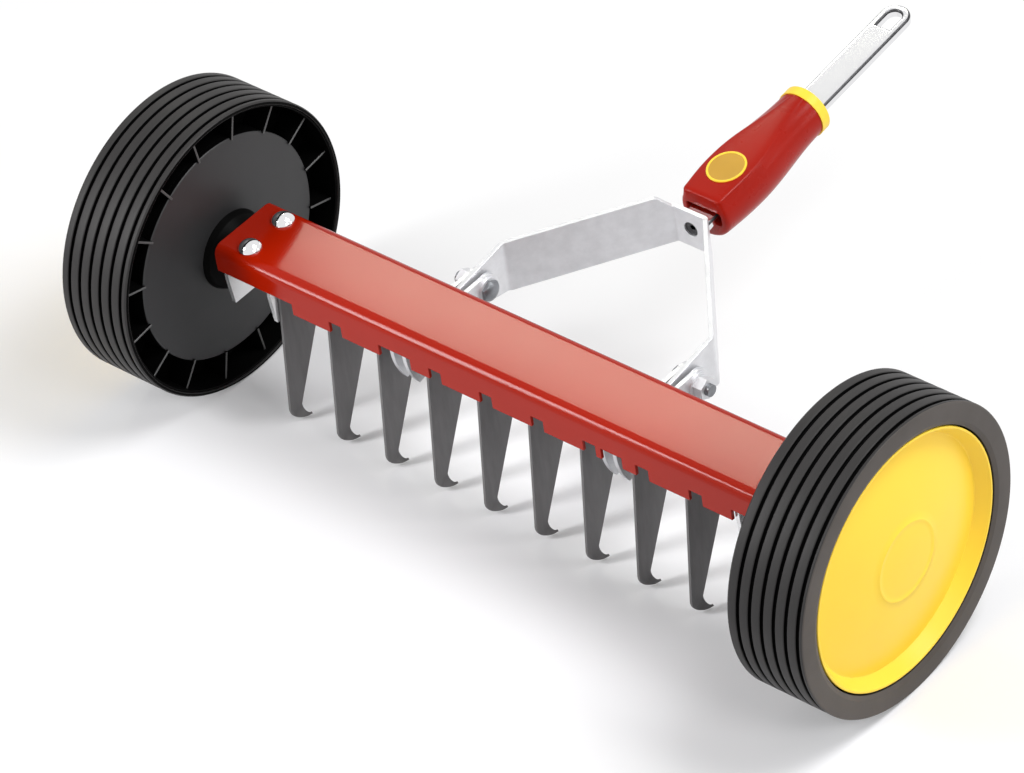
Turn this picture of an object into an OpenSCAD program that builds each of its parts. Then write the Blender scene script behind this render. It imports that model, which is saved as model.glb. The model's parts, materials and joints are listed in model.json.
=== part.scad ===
// Thatch rake head: ten hooked blades under a folded steel bar that rolls on two wheels,
// with a swinging yoke that ends in a flat tang for a push-on handle.
// Millimetres. The origin is on the floor under the middle of the axle.
// X runs along the bar, Y points back towards the handle and Z is up.

/* [Wheels] */
// Diameter over the tread
wheel_d = 200; // [196:1:220]
// Width of a tyre
tyre_w = 56; // [54:1:64]
// Distance from the end of the bar to the inner face of a tyre
wheel_clear = 11.5; // [8:0.5:22]
// Radial thickness of the tread band
tread_t = 3.5; // [3.5:0.5:8]
// Rounding of the two tread shoulders
shoulder_r = 2.5; // [1:0.5:3]
// Grooves around the tread
groove_count = 6; // [2:1:6]
// Distance from groove to groove
groove_pitch = 8.8; // [6:0.1:9]
// Width of a groove
groove_w = 3; // [1.5:0.1:3.5]
// Depth of a groove
groove_depth = 2; // [1:0.5:2.5]
// From the inner face of the tyre to the first groove
groove_start = 7; // [5:0.1:8]

/* [Rims] */
// Wall of the disc and of the recess round it
rim_t = 3; // [2:0.5:4]
// Wall of the drum under the tyre
drum_t = 1.5; // [1:0.5:3]
// Distance from the tread to the edge of the cone-shaped disc on the inner side
disc_inset = 22.5; // [18:0.5:40]
// How far the disc's edge lies inside the tyre's inner face
disc_sink = 7; // [4:0.5:10]
// How far the disc rises from its edge to the hub boss
disc_rise = 4; // [1:0.5:6]
// Depth of the ring-shaped recess around the disc, from the disc's edge
recess_depth = 20; // [10:1:26]
// Ribs across the recess
rib_count = 16; // [8:1:24]
// How far the ribs' edges lie behind the disc's edge
rib_sink = 1; // [0.5:0.5:6]
// Thickness of a rib
rib_t = 1.5; // [1:0.1:2.5]
// Angle of the first rib above level
rib_turn = 7.5; // [0:0.5:22.5]
// Diameter of the hub boss on the disc
boss_d = 54; // [44:1:60]
// Diameter of the hub where the axle runs
hub_d = 28; // [20:1:34]
// How far the hub's outer end lies inside the tyre's outer face
hub_sink = 19; // [18:0.5:24]

/* [Hub covers] */
// Distance from the tread to the edge of a cover
cover_inset = 17; // [15:0.5:25]
// Distance from the edge of a cover to its face
face_inset = 7; // [6:0.5:20]
// Depth of the dip between the lip and the face
cover_dish = 8; // [5:0.5:9]
// How far the face bulges out from its edge to its middle
cover_dome = 10; // [1:0.5:10]
// Sheet thickness of a cover
cover_t = 2; // [1.5:0.1:2.5]
// How far the cover's lip lies inside the tyre's outer face
cover_sink = 2.5; // [1.5:0.5:3]
// Diameter of the raised ring on the face
ring_d = 52; // [30:1:100]
// Height of the raised ring
ring_h = 0.8; // [0.4:0.1:1.5]

/* [Axle] */
// Diameter of the axle
axle_d = 10; // [8:0.5:12]
// Radial running gap of a wheel on the axle
axle_gap = 0.06; // [0.02:0.01:0.1]
// Diameter of an axle clip
clip_d = 22; // [18:1:26]
// Thickness of an axle clip
clip_t = 2; // [1:0.5:2.5]

/* [Bar] */
// Length of the bar
bar_len = 456; // [446:1:462]
// Width over the two flanges
bar_w = 56; // [52:1:62]
// Height of the top face above the axle
bar_rise = 27.5; // [26:0.5:34]
// Depth of a flange, from the top face
flange_h = 27.5; // [24:0.5:29]
// Sheet thickness of the bar
bar_t = 2.5; // [1.5:0.1:3]
// Outer radius of the two bends
bend_r = 4; // [3.5:0.5:6]
// Width of the nick in the front flange beside each blade
nick_w = 9.5; // [5:0.5:12]
// Height of all the nicks in the two flanges
nick_h = 8.5; // [5:0.5:10]
// Distance from a blade to the middle of its nick
nick_shift = 15; // [8:0.5:16]
// Width of the opening in the front flange at each pair of lugs
lug_nick_w = 16; // [12:1:22]
// Distance from the middle of each pair of lugs to that opening
lug_nick_shift = 9.5; // [0:0.5:12]
// Width of the opening in the rear flange at each pair of lugs
rear_nick_w = 18; // [16:1:22]

/* [Axle brackets] */
// Sheet thickness of a bracket
bracket_t = 3; // [2:0.5:4]
// Depth of the cheeks below the axle
cheek_drop = 19.5; // [12:0.5:30]
// How much narrower the cheeks are at each side of their lower edge
cheek_taper = 2; // [1:0.5:8]
// Distance from the end of the bar to the outer cheek
bracket_end = 2.5; // [1:0.5:5]
// Distance from the outermost blade to the inner cheek
bracket_gap = 0.5; // [0.3:0.1:2]

/* [Bracket rivets] */
// Distance of the rivets from the end of the bar
rivet_end = 20.5; // [20:0.5:27]
// Distance between the two rivets at one end, across the bar
rivet_pitch = 31; // [28:0.5:34]
// Diameter of a domed head
rivet_head_d = 15.5; // [12:0.5:16]
// Height of a domed head
rivet_head_h = 5.5; // [2:0.5:6]
// Diameter of a shank
rivet_d = 6; // [4:0.5:7]

/* [Blades] */
// Distance from the end of the bar to the outermost blade
blade_end = 43.05; // [42:0.05:48]
// Sheet thickness of a blade
blade_t = 2; // [1.5:0.1:2.5]
// Width of a blade's head inside the bar
blade_head_w = 43.5; // [38:0.5:45]
// How far the middle of that head lies behind the axle
blade_shift = 1.8; // [0:0.1:2.5]
// Width of a blade above its hook
blade_low_w = 10.5; // [9:0.5:11]
// Height of the flat blade's lower end, before the hook is bent
blank_gap = 0.2; // [0:0.1:6]
// Distance of the foremost point of the heel from the axle
heel_front = 28.8; // [24:0.1:34]
// Radius of the heel
heel_r = 12; // [11:0.5:13]
// Height of the hook's root above the flat blade's lower end
hook_h = 10; // [8:0.5:12]
// Distance of the hook's point behind the middle of the heel
hook_len = 1.5; // [1.5:0.5:4]
// Width of the hook's point
hook_tip = 1; // [0.5:0.1:2]
// Angle by which the hook is bent sideways
hook_turn = 37; // [0:1:45]

/* [Lugs and pivot] */
// How far each yoke foot lies outside the middle between two blades
foot_shift = 2.3; // [0.5:0.1:4]
// Distance between the two plates of a pair, between their middles
lug_pitch = 10; // [8.5:0.5:11]
// Sheet thickness of a lug plate
lug_t = 3; // [2:0.5:3.5]
// Distance of a lug plate's front edge from the axle
lug_front = 20.5; // [14:0.5:22]
// Radius of the swept lower half of that front edge
lug_sweep_r = 48; // [40:1:60]
// Depth of a lug plate below the axle
lug_drop = 27; // [20:0.5:30]
// Radius of a lug plate around the pivot bolt
lug_pivot_r = 10.5; // [9:0.5:12]
// Distance of the pivot bolt behind the axle
pivot_back = 58; // [50:0.5:66]
// Distance of the pivot bolt below the axle
pivot_drop = 2; // [0:0.5:6]
// Diameter of a pivot bolt
bolt_d = 8; // [6:0.5:10]
// Radial running gap of the yoke on the bolts
bolt_gap = 0.06; // [0.02:0.01:0.1]
// Width across the flats of a bolt head and a nut
hex_w = 13; // [11:0.5:16]
// Height of a bolt head
head_h = 5; // [3:0.5:7]
// Height of a nut
nut_h = 6.5; // [4:0.5:8]
// Diameter of a washer
washer_d = 17; // [15:0.5:20]
// Thickness of a washer
washer_t = 1.5; // [1:0.1:2]

/* [Yoke] */
// Strip thickness of the yoke
yoke_t = 3; // [2.5:0.1:4]
// Distance of the bend between foot and leg behind the axle
bend_back = 82; // [78:0.5:88]
// Distance of the web behind the axle
web_back = 166.7; // [155:0.1:180]
// Width of the web between its two bends
web_w = 25; // [22:0.5:32]
// Height of the strip's upper edge above the axle at the foot bend
bend_top = 15.7; // [14:0.1:20]
// Depth of the strip's lower edge below the axle at the foot bend
bend_bottom = 22.5; // [19:0.1:26]
// Height of the legs' upper edge above the axle at the web
web_top = 27.2; // [22:0.1:28]
// How much lower the web's upper edge is than the legs
web_step = 8.7; // [2:0.1:9]
// Depth of the strip's lower edge below the axle at the web
web_bottom = 9.5; // [6:0.1:12]
// Radius of the foot around the pivot bolt
foot_r = 15; // [13:0.5:17]
// How far the heel of the foot reaches into the opening in the bar's rear flange
stop_reach = 3; // [1:0.5:5]
// Gap between that heel and the top of the opening, which it stops against
stop_gap = 0.3; // [0.2:0.1:0.6]
// Diameter of the hole in the web
web_hole_d = 10.5; // [8:0.5:12]

/* [Tang and socket] */
// Angle of the tang above the floor
tang_angle = 6; // [0:0.5:8]
// Height of the tang's middle above the axle, at the web
tang_rise = 6.3; // [4:0.1:8]
// Length of the tang from the web to its tip
tang_len = 222.5; // [200:0.5:240]
// Width of the tang
tang_w = 21; // [18:0.5:23]
// Thickness of the tang
tang_t = 7; // [5:0.5:8]
// Width of the slot near the tip
slot_w = 11; // [8:0.5:12]
// Length of the slot, with its round end
slot_len = 17; // [14:0.5:24]
// Distance from the slot's round end to the tip
slot_end = 5.5; // [5:0.5:12]
// Depth to which the tang's spigot fills the hole in the web
spigot_len = 1.5; // [1:0.1:2.4]
// Distance from the web to the socket
socket_start = 11; // [8:0.5:16]
// Length of the socket
socket_len = 101; // [90:1:110]
// Diameter of the socket at its lower end
socket_low_d = 37; // [33:0.5:39]
// Diameter of the socket at its thickest
socket_mid_d = 42; // [40:0.5:46]
// Diameter of the socket at its upper end
socket_top_d = 33.5; // [30:0.5:37]
// Distance of the thickest place from the lower end
socket_mid = 38; // [32:1:50]
// Height of the flat pad on top, above the tang's middle
pad_h = 17; // [15:0.5:19]
// Chamfer of the socket's lower end
socket_chamfer = 3; // [1:0.5:4]
// Diameter of the collar
collar_d = 35; // [32:0.5:38]
// Length of the collar
collar_len = 7; // [5:0.5:10]
// Gap between the tang and what is fitted on it
tang_gap = 0.1; // [0.05:0.01:0.2]

/* [Hidden] */
$fn = 96;
// A hole that only locates a piece is wider than its shaft by this much all round
seat_gap = 0.05;
// Room left between the drum of a rim and its tyre
tyre_gap = 0.1;
// Cuts run past a face by this much
over = 1;

// Places of the wheels
wheel_r = wheel_d / 2;
axle_r = axle_d / 2;
cover_r = wheel_r - cover_inset;
face_r = cover_r - face_inset;
disc_r = wheel_r - disc_inset;
rim_r = wheel_r - tread_t;
drum_r = rim_r - tyre_gap;
bar_end = bar_len / 2;
wheel_in = bar_end + wheel_clear;
wheel_out = wheel_in + tyre_w;

// Heights above the floor
axle_z = wheel_r;
bar_top = axle_z + bar_rise;
bar_under = bar_top - bar_t;
flange_z = bar_top - flange_h;
nick_top = flange_z + nick_h;
stop_z = nick_top - stop_gap;
pivot_z = axle_z - pivot_drop;
tang_z = axle_z + tang_rise;

// Places along the bar
blade_count = 10;
blade_out = bar_end - blade_end;
blade_pitch = 2 * blade_out / (blade_count - 1);
cheek_in = blade_out + blade_t / 2 + bracket_gap;
cheek_out = bar_end - bracket_end;
rivet_x = bar_end - rivet_end;
foot_x = 2 * blade_pitch + foot_shift;
hub_gap = 0.5;
hub_in = cheek_out + hub_gap;
hub_out = wheel_out - hub_sink;
clip_x = hub_out + hub_gap;
clip_collar_d = axle_d + 5;
clip_collar_h = 1.5;
axle_end = clip_x + clip_t + clip_collar_h;

// The flat blade's drawing, in Y and Z: the middle of the heel, and the fold from the heel to the hook's root
heel = [heel_r - heel_front, blank_gap + heel_r];
hook_root = [blade_low_w - heel_front, blank_gap + hook_h];
fold_from = 215;
fold_start = heel + heel_r * [cos(fold_from), sin(fold_from)];
fold_line = hook_root - fold_start;
fold_angle = atan2(fold_line[1], fold_line[0]);

// Inside of the bar
bar_in_w = bar_w - 2 * bar_t;
bracket_w = bar_in_w - 1;

// The wheel's section, from the tyre's inner face outwards
lip_t = 3;
lip_w = 2;
ledge_w = 1.2;
lip_x = tyre_w - cover_sink;
ledge_x = lip_x - lip_t;
ledge_t = 3;
face_x = lip_x - cover_dish;
rim_edge = 1.5;
floor_x = disc_sink + recess_depth;
boss_end = 1.5 - wheel_clear;
boss_end_d = boss_d * 2 / 3;
nose_d = 24;
cone_x = disc_sink - disc_rise;

// The yoke's strip
web_half = web_w / 2;
stop_y = bar_w / 2 - stop_reach;
bolt_in = lug_pitch / 2 + lug_t / 2;
bolt_tip = 3;

// The tang, measured along its own middle line from the web's rear face
web_rear = web_back + yoke_t / 2;
socket_end = socket_start + socket_len;
collar_end = socket_end + collar_len;
slot_far = tang_len - slot_end;
mouth_w = tang_w + 6;
mouth_t = tang_t + 4;
mouth_depth = 8;

steel_grey = [0.80, 0.81, 0.83];
bar_red = [0.72, 0.13, 0.08];
blade_grey = [0.30, 0.30, 0.32];
tyre_black = [0.16, 0.15, 0.15];
rim_grey = [0.26, 0.26, 0.27];
cover_yellow = [0.87, 0.66, 0.20];
bolt_dark = [0.25, 0.26, 0.28];
chrome = [0.85, 0.86, 0.87];

// Extrudes a drawing of Y and Z along X, centred on x
module along_x(x, length)
    translate([x - length / 2, 0, 0])
        rotate([90, 0, 90])
            linear_extrude(length)
                children();

// Turns a drawing of radius and depth about the axle, with depth 0 at the inner face of the right tyre
module about_axle()
    translate([wheel_in, 0, axle_z])
        rotate([0, 90, 0])
            rotate_extrude()
                children();

// A round rod along X through the given Y and Z, from one X to another
module rod_x(y, z, from_x, to_x, d)
    translate([from_x, y, z])
        rotate([0, 90, 0])
            cylinder(d = d, h = to_x - from_x);

// Makes the left copy of a right-hand piece
module left()
    mirror([1, 0, 0])
        children();

// Makes both copies of a right-hand piece
module both_sides() {
    children();
    left()
        children();
}

// Places children in the tang's frame: +Y along the tang from the web's rear face
module on_tang()
    translate([0, web_rear, tang_z])
        rotate([tang_angle, 0, 0])
            children();

// A box centred in X and Z, from one Y to another
module bar_y(from_y, to_y, w, t)
    translate([-w / 2, from_y, -t / 2])
        cube([w, to_y - from_y, t]);

// The bar: a folded channel, open below

module channel_section(w, h, r)
    translate([-w / 2, 0]) {
        square([w, h - r]);
        translate([r, 0])
            square([w - 2 * r, h]);
        translate([r, h - r])
            circle(r);
        translate([w - r, h - r])
            circle(r);
    }

module channel_body()
    along_x(0, bar_len)
        translate([0, flange_z])
            difference() {
                channel_section(bar_w, flange_h, bend_r);
                translate([0, -over])
                    channel_section(bar_in_w, flange_h - bar_t + over, bend_r - bar_t);
            }

// Cuts away the lower edge of the front flange (row -1) or the rear one (row 1)
module flange_cut(row, from_x, to_x)
    translate([from_x, row * (bar_w / 2 - bar_t / 2) - bar_t / 2 - over, flange_z - over])
        cube([to_x - from_x, bar_t + 2 * over, nick_h + over]);

module flange_nick(row, x, w)
    flange_cut(row, x - w / 2, x + w / 2);

module rivet_places()
    for (side = [-1, 1])
        for (row = [-1, 1])
            translate([side * rivet_x, row * rivet_pitch / 2, 0])
                children();

module rivet_holes()
    rivet_places()
        translate([0, 0, flange_z])
            cylinder(d = rivet_d + 2 * seat_gap, h = flange_h + over);

module channel()
    color(bar_red)
        difference() {
            channel_body();
            for (i = [1 : blade_count])
                flange_nick(-1, blade_x(i) + nick_shift, nick_w);
            for (side = [-1, 1]) {
                flange_nick(-1, side * foot_x + lug_nick_shift, lug_nick_w);
                flange_nick(1, side * foot_x, rear_nick_w);
            }
            // The flanges are shallow at the ends of the bar, in front as far as the first nick
            for (row = [-1, 1]) {
                flange_cut(row, -bar_end - over, -cheek_in);
                flange_cut(row, cheek_in, bar_end + over);
            }
            flange_cut(-1, -cheek_in - over, blade_x(1) + nick_shift);
            rivet_holes();
        }

// The axle and its clips

module axle_hole(from_x, to_x)
    rod_x(0, axle_z, from_x, to_x, axle_d + 2 * seat_gap);

module axle()
    color(steel_grey)
        rod_x(0, axle_z, -axle_end, axle_end, axle_d);

module axle_clips()
    color(steel_grey)
        both_sides()
            difference() {
                union() {
                    rod_x(0, axle_z, clip_x, clip_x + clip_t, clip_d);
                    rod_x(0, axle_z, clip_x + clip_t, axle_end, clip_collar_d);
                }
                axle_hole(clip_x - over, axle_end + over);
            }

// The axle brackets: folded U pieces, riveted under the bar

module cheek_outline() {
    top = bracket_w / 2;
    bottom = top - cheek_taper;
    corner = bend_r - bar_t;
    polygon([[corner - top, bar_under], [-top, bar_under - corner], [-top, axle_z], [-bottom, axle_z - cheek_drop],
        [bottom, axle_z - cheek_drop], [top, axle_z], [top, bar_under - corner], [top - corner, bar_under]]);
}

module right_bracket()
    color(steel_grey) {
        length = cheek_out - cheek_in;
        difference() {
            along_x(cheek_in + length / 2, length)
                cheek_outline();
            translate([cheek_in + bracket_t, -bar_w / 2, axle_z - cheek_drop - over])
                cube([length - 2 * bracket_t, bar_w, bar_under - bracket_t - axle_z + cheek_drop + over]);
            axle_hole(cheek_in - over, cheek_out + over);
            rivet_holes();
        }
    }

module left_bracket()
    left()
        right_bracket();

module bracket_rivets() {
    dome_r = (pow(rivet_head_d / 2, 2) + pow(rivet_head_h, 2)) / (2 * rivet_head_h);
    tail_h = 2;
    tail_z = bar_under - bracket_t - tail_h;
    color(chrome)
        rivet_places() {
            translate([0, 0, tail_z])
                cylinder(d = rivet_d, h = bar_top - tail_z + rivet_head_h / 2);
            translate([0, 0, tail_z])
                cylinder(d = rivet_d * 1.5, h = tail_h);
            intersection() {
                translate([0, 0, bar_top + rivet_head_h - dome_r])
                    sphere(dome_r);
                translate([0, 0, bar_top])
                    cylinder(d = rivet_head_d + over, h = rivet_head_h + over);
            }
        }
}

// The blades: tapered plates with a round heel, folded sideways at the lower end into a hook

function blade_x(i) = (i - (blade_count + 1) / 2) * blade_pitch;

// The flat blade; the inner edge of the hook is hollow
module blade_outline() {
    head = blade_head_w / 2;
    shoulder_z = axle_z - 5;
    heel_step = 10;
    point_y = heel[0] + hook_len;
    hollow = [point_y - hook_root[0], hook_h - hook_tip];
    hollow_step = 15;
    polygon(concat(
        [[blade_shift + head, bar_under], [blade_shift - head, bar_under], [blade_shift - head, shoulder_z]],
        [for (a = [180 : heel_step : 270]) heel + heel_r * [cos(a), sin(a)]],
        [[point_y, blank_gap]],
        [for (a = [0 : hollow_step : 90]) hook_root + [hollow[0] * (1 - sin(a)), -hollow[1] * cos(a)]],
        [[blade_shift + head, shoulder_z]]));
}

// All of the drawing below the fold
module below_fold()
    translate(fold_start)
        rotate(fold_angle)
            translate([-wheel_d, -2 * wheel_d])
                square(2 * wheel_d);

module hook(i)
    translate([blade_x(i), fold_start[0], fold_start[1]])
        rotate([fold_angle, 0, 0]) {
            rotate([0, -hook_turn, 0])
                along_x(0, blade_t)
                    rotate(-fold_angle)
                        translate(-fold_start)
                            intersection() {
                                blade_outline();
                                below_fold();
                            }
            // The round outside of the fold
            rotate([-90, 0, 0])
                cylinder(d = blade_t, h = norm(fold_line) - blade_t / 2);
        }

module blade(i)
    color(blade_grey) {
        difference() {
            along_x(blade_x(i), blade_t)
                difference() {
                    blade_outline();
                    below_fold();
                }
            axle_hole(blade_x(i) - blade_t, blade_x(i) + blade_t);
        }
        hook(i);
    }

// The lug plates: hung on the axle, seated under the bar, and carrying the pivot bolts

module lug_outline() {
    sweep_angle = asin(lug_drop / lug_sweep_r);
    sweep_steps = 8;
    polygon(concat(
        [[lug_front, bar_under], [-lug_front, bar_under]],
        [for (i = [0 : sweep_steps]) let (a = sweep_angle * i / sweep_steps)
            [lug_sweep_r - lug_front, axle_z] - lug_sweep_r * [cos(a), sin(a)]],
        [[pivot_back, pivot_z - lug_pivot_r], [pivot_back, stop_z], [lug_front, stop_z]]));
    translate([pivot_back, pivot_z])
        circle(lug_pivot_r);
}

module lug(x)
    color(steel_grey)
        difference() {
            along_x(x, lug_t)
                lug_outline();
            axle_hole(x - lug_t, x + lug_t);
            rod_x(pivot_back, pivot_z, x - lug_t, x + lug_t, bolt_d + 2 * seat_gap);
        }

module right_inner_lug()
    lug(foot_x - lug_pitch / 2);

module right_outer_lug()
    lug(foot_x + lug_pitch / 2);

module left_inner_lug()
    lug(lug_pitch / 2 - foot_x);

module left_outer_lug()
    lug(-lug_pitch / 2 - foot_x);

// The pivot bolts, with the heads towards the middle of the bar

module hex_x(from_x, height)
    translate([from_x, pivot_back, pivot_z])
        rotate([0, 90, 0])
            cylinder(d = hex_w / cos(30), h = height, $fn = 6);

module pivot_bolts()
    color(bolt_dark)
        both_sides() {
            seat_x = foot_x - bolt_in - washer_t;
            rod_x(pivot_back, pivot_z, seat_x, foot_x + bolt_in + washer_t + nut_h + bolt_tip, bolt_d);
            intersection() {
                hex_x(seat_x - head_h, head_h);
                translate([seat_x - head_h + hex_w * 0.75, pivot_back, pivot_z])
                    sphere(hex_w * 0.75);
            }
        }

module pivot_washers()
    color(steel_grey)
        both_sides()
            for (from_x = [foot_x - bolt_in - washer_t, foot_x + bolt_in])
                difference() {
                    rod_x(pivot_back, pivot_z, from_x, from_x + washer_t, washer_d);
                    rod_x(pivot_back, pivot_z, from_x - over, from_x + washer_t + over, bolt_d + 2 * seat_gap);
                }

module pivot_nuts()
    color(steel_grey)
        both_sides()
            difference() {
                nut_x = foot_x + bolt_in + washer_t;
                hex_x(nut_x, nut_h);
                rod_x(pivot_back, pivot_z, nut_x - over, nut_x + nut_h + over, bolt_d + 2 * seat_gap);
            }

// The wheels

// The tread band with its round shoulders, trimmed so that they don't bulge inwards
module tread_section()
    intersection() {
        translate([rim_r, 0])
            square([tread_t, tyre_w]);
        union() {
            translate([rim_r, shoulder_r])
                square([tread_t, tyre_w - 2 * shoulder_r]);
            translate([rim_r, 0])
                square([tread_t - shoulder_r, tyre_w]);
            for (depth = [shoulder_r, tyre_w - shoulder_r])
                translate([wheel_r - shoulder_r, depth])
                    circle(shoulder_r);
        }
    }

module tyre_section()
    difference() {
        union() {
            tread_section();
            translate([cover_r, ledge_x - ledge_t])
                square([rim_r - cover_r + tread_t / 2, tyre_w - ledge_x + ledge_t]);
            translate([cover_r - ledge_w, ledge_x - ledge_t])
                square([ledge_w + over, ledge_t]);
        }
        for (i = [0 : groove_count - 1])
            translate([wheel_r - groove_depth, groove_start + i * groove_pitch - groove_w / 2])
                square([groove_depth + over, groove_w]);
    }

module right_tyre()
    color(tyre_black)
        about_axle()
            tyre_section();

module left_tyre()
    left()
        right_tyre();

module rim_section() {
    bore_r = axle_r + axle_gap;
    wall_r = disc_r - rim_t;
    translate([bore_r, hub_in - wheel_in])
        square([nose_d / 2 - bore_r, hub_out - hub_in]);
    translate([bore_r, cone_x])
        square([hub_d / 2 - bore_r, hub_out - wheel_in - cone_x]);
    polygon([[bore_r, boss_end], [boss_end_d / 2, boss_end], [boss_d / 2, cone_x], [disc_r, disc_sink],
        [disc_r, disc_sink + rim_t], [boss_d / 2, cone_x + rim_t], [bore_r, cone_x + rim_t]]);
    translate([wall_r, disc_sink])
        square([rim_t, recess_depth]);
    translate([wall_r, floor_x - rim_t])
        square([drum_r - wall_r, rim_t]);
    translate([drum_r - drum_t, rim_edge])
        square([drum_t, ledge_x - ledge_t - tyre_gap - rim_edge]);
}

module right_rim()
    color(rim_grey) {
        about_axle()
            rim_section();
        rib_in = disc_r - rim_t / 2;
        for (i = [0 : rib_count - 1])
            translate([wheel_in + disc_sink + rib_sink, 0, axle_z])
                rotate([rib_turn + i * 360 / rib_count, 0, 0])
                    translate([0, rib_in, -rib_t / 2])
                        cube([recess_depth - rib_sink - rim_t / 2, drum_r - drum_t / 2 - rib_in, rib_t]);
    }

module left_rim()
    left()
        right_rim();

// Depth of the bulging face at a distance from the axle
function dome_x(r) = face_x + cover_dome * (1 - pow(r / face_r, 2));

module cover_section() {
    rim = cover_r - seat_gap;
    ring_in = ring_d / 2 - ring_h;
    ring_out = ring_d / 2 + ring_h / 2;
    steps = 6;
    polygon(concat(
        [for (i = [0 : steps]) let (r = ring_in * i / steps) [r, dome_x(r)]],
        [[ring_in, dome_x(ring_in) + ring_h], [ring_out, dome_x(ring_out) + ring_h]],
        [for (i = [0 : steps]) let (r = ring_out + (face_r - ring_out) * i / steps) [r, dome_x(r)]],
        [[rim - lip_w, lip_x], [rim, lip_x], [rim, ledge_x], [rim - ledge_w, ledge_x],
            [face_r + cover_t * 0.7, face_x - cover_t]],
        [for (i = [steps : -1 : 0]) let (r = face_r * i / steps) [r, dome_x(r) - cover_t]]));
}

module right_hub_cover()
    color(cover_yellow)
        about_axle()
            cover_section();

module left_hub_cover()
    left()
        right_hub_cover();

// The yoke: one strip on edge, drawn from above and trimmed to its outline from the side

module yoke_plan() {
    leg = [web_half - foot_x, web_back - bend_back];
    leg_angle = atan2(-leg[0], leg[1]);
    // Mitred corners of the strip's outer and inner faces
    half = yoke_t / 2;
    foot_mitre = half * tan(leg_angle / 2);
    web_mitre = half * tan((90 - leg_angle) / 2);
    outer = [[foot_x + half, stop_y], [foot_x + half, bend_back + foot_mitre],
        [web_half + web_mitre, web_back + half]];
    inner = [[web_half - web_mitre, web_back - half], [foot_x - half, bend_back - foot_mitre],
        [foot_x - half, stop_y]];
    polygon(concat(outer, [for (p = [2 : -1 : 0]) [-outer[p][0], outer[p][1]]],
        [for (p = [2 : -1 : 0]) [-inner[p][0], inner[p][1]]], inner));
}

module yoke_outline() {
    stop_h = 6;
    slope_y = bar_w / 2 + 2;
    web_front = web_back - yoke_t / 2;
    foot_step = 10;
    polygon(concat(
        [[stop_y, stop_z], [slope_y, stop_z], [bend_back - 2, axle_z + bend_top],
            [web_front - 0.8 * web_step, axle_z + web_top], [web_front, axle_z + web_top - web_step],
            [web_rear, axle_z + web_top - web_step], [web_rear, axle_z - web_bottom],
            [bend_back + 2, axle_z - bend_bottom]],
        [for (a = [270 : -foot_step : 220]) [pivot_back, pivot_z] + foot_r * [cos(a), sin(a)]],
        [[stop_y, stop_z - stop_h]]));
}

module yoke()
    color(steel_grey)
        difference() {
            intersection() {
                linear_extrude(2 * axle_z)
                    yoke_plan();
                along_x(0, 2 * (foot_x + yoke_t))
                    yoke_outline();
            }
            rod_x(pivot_back, pivot_z, -foot_x - yoke_t, foot_x + yoke_t, bolt_d + 2 * bolt_gap);
            translate([0, web_rear + over, tang_z])
                rotate([90, 0, 0])
                    cylinder(d = web_hole_d, h = yoke_t + 2 * over);
        }

// The tang: a flat bar, its spigot set in the web and its slotted tip free for the handle

module tang_outline()
    difference() {
        union() {
            translate([-tang_w / 2, -tang_t])
                square([tang_w, tang_len + tang_t - tang_w / 2]);
            translate([0, tang_len - tang_w / 2])
                circle(d = tang_w);
        }
        translate([0, slot_far - slot_w / 2])
            circle(d = slot_w);
        translate([-slot_w / 2, slot_far - slot_len])
            square([slot_w, slot_len - slot_w / 2]);
    }

module tang()
    color(chrome) {
        difference() {
            on_tang()
                translate([0, 0, -tang_t / 2])
                    linear_extrude(tang_t)
                        tang_outline();
            translate([-tang_w, web_rear - 2 * tang_t, 0])
                cube([2 * tang_w, 2 * tang_t, 2 * axle_z]);
        }
        intersection() {
            translate([0, web_rear + tang_t / 2, tang_z])
                rotate([90, 0, 0])
                    cylinder(d = web_hole_d - 2 * seat_gap, h = spigot_len + tang_t / 2);
            translate([-tang_w, web_rear - spigot_len, tang_z - tang_t])
                cube([2 * tang_w, spigot_len, 2 * tang_t]);
        }
    }

// The socket and its collar, moulded round the tang

function ease(t) = (1 - cos(180 * t)) / 2;

function socket_r(s) = s < socket_mid
    ? socket_low_d / 2 + (socket_mid_d - socket_low_d) / 2 * sin(90 * s / socket_mid)
    : socket_mid_d / 2 - (socket_mid_d - socket_top_d) / 2 * ease((s - socket_mid) / (socket_len - socket_mid));

module socket_section() {
    steps = 20;
    polygon(concat([[0, 0], [socket_low_d / 2 - socket_chamfer, 0]],
        [for (i = [1 : steps]) let (s = socket_chamfer + (socket_len - socket_chamfer) * (i - 1) / (steps - 1))
            [socket_r(s), s]],
        [[0, socket_len]]));
}

module tang_hole(from_y, to_y)
    bar_y(from_y, to_y, tang_w + 2 * tang_gap, tang_t + 2 * tang_gap);

module socket()
    color(bar_red)
        on_tang()
            difference() {
                translate([0, socket_start, 0])
                    rotate([-90, 0, 0])
                        rotate_extrude()
                            socket_section();
                tang_hole(socket_start - over, socket_end + over);
                bar_y(socket_start - over, socket_start + mouth_depth, mouth_w, mouth_t);
                translate([-socket_mid_d, socket_start - over, pad_h])
                    cube([2 * socket_mid_d, socket_len + 2 * over, socket_mid_d]);
            }

module collar()
    color(cover_yellow)
        on_tang()
            difference() {
                translate([0, socket_end, 0])
                    rotate([-90, 0, 0])
                        cylinder(d = collar_d, h = collar_len);
                tang_hole(socket_end - over, collar_end + over);
            }

channel();
axle();
axle_clips();
left_bracket();
right_bracket();
bracket_rivets();
blade(1);  // blade_1
blade(2);  // blade_2
blade(3);  // blade_3
blade(4);  // blade_4
blade(5);  // blade_5
blade(6);  // blade_6
blade(7);  // blade_7
blade(8);  // blade_8
blade(9);  // blade_9
blade(10);  // blade_10
left_inner_lug();
left_outer_lug();
right_inner_lug();
right_outer_lug();
pivot_bolts();
pivot_washers();
pivot_nuts();
left_tyre();
left_rim();
left_hub_cover();
right_tyre();
right_rim();
right_hub_cover();
yoke();
tang();
socket();
collar();
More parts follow.
